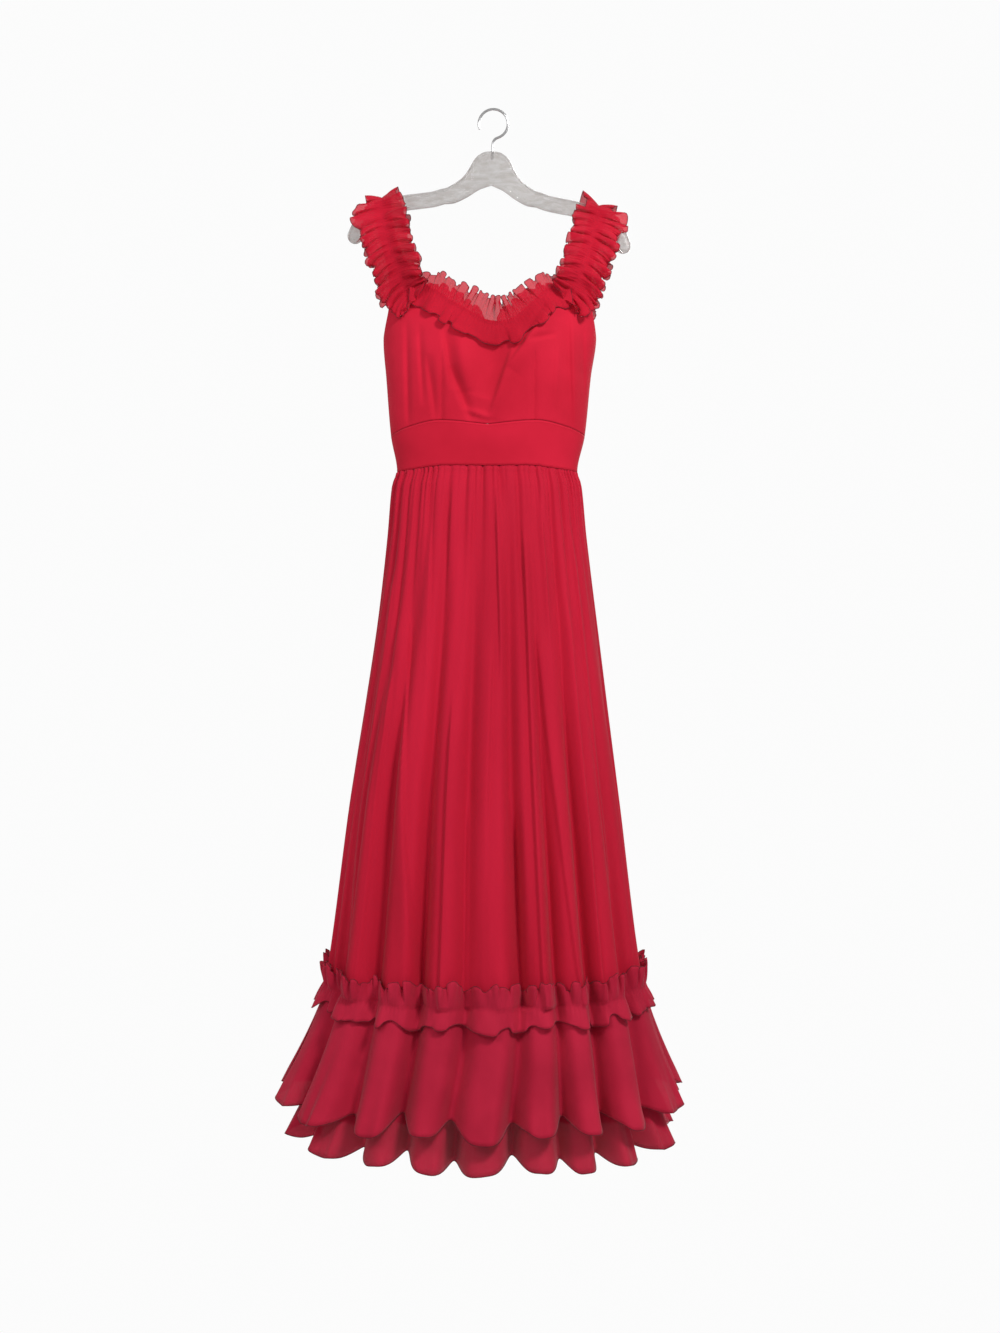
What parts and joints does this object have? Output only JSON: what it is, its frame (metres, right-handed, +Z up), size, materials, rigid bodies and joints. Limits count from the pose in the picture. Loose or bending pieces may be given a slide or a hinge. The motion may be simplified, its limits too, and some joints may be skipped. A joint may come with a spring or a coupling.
{
  "type": "prom dress on a clear hanger",
  "caption": "Full-length prom dress with ruffled scoop neck and straps, shaped midriff, gathered skirt and flounced hem, on a clear moulded hanger with a wire hook.",
  "frame": {"origin": "the inside of the hook's top, where it bears on the rod that it hangs from", "axes": "+Z up, along the hanging dress; -Y towards the viewer, out of the front of the dress; +X to the wearer's left"},
  "size_m": [0.6043, 0.3678, 1.5585],
  "materials": {
    "crepe": "matte red crepe with a fine weave",
    "chiffon": "sheer red chiffon, soft and slightly see-through",
    "lining": "smooth red lining satin",
    "zip_tape": "woven red zip tape",
    "zip_metal": "enamelled red metal",
    "clear_plastic": "clear moulded acrylic",
    "steel": "bright plated wire"
  },
  "bodies": {
    "dress": {"bodice_front": "crepe", "bodice_back_left": "crepe", "bodice_back_right": "crepe", "midriff_front": "crepe", "midriff_back_left": "crepe", "midriff_back_right": "crepe", "strap_left": "crepe", "strap_right": "crepe", "skirt_front": "chiffon", "skirt_back_left": "chiffon", "skirt_back_right": "chiffon", "flounce_front": "chiffon", "flounce_back": "chiffon", "under_flounce_front": "chiffon", "under_flounce_back": "chiffon", "heading_ruffle_front": "chiffon", "heading_ruffle_back": "chiffon", "neck_ruffle_front": "chiffon", "neck_ruffle_back_left": "chiffon", "neck_ruffle_back_right": "chiffon", "strap_ruffle_left": "chiffon", "strap_ruffle_right": "chiffon", "lining_front": "lining", "lining_back_left": "lining", "lining_back_right": "lining", "zip_tape_left": "zip_tape", "zip_tape_right": "zip_tape", "zip_slider": "zip_metal", "hanger": "clear_plastic", "hanger_hook": "steel"},
    "pull": {"zip_pull": "zip_metal"}
  },
  "joints": [
    {"name": "zip_pull_hinge", "type": "hinge", "parent": "dress", "child": "pull", "pos_m": [-0.01, 0.05679, -0.3215], "axis": [1, 0, 0], "range_deg": [0, 150]}
  ]
}
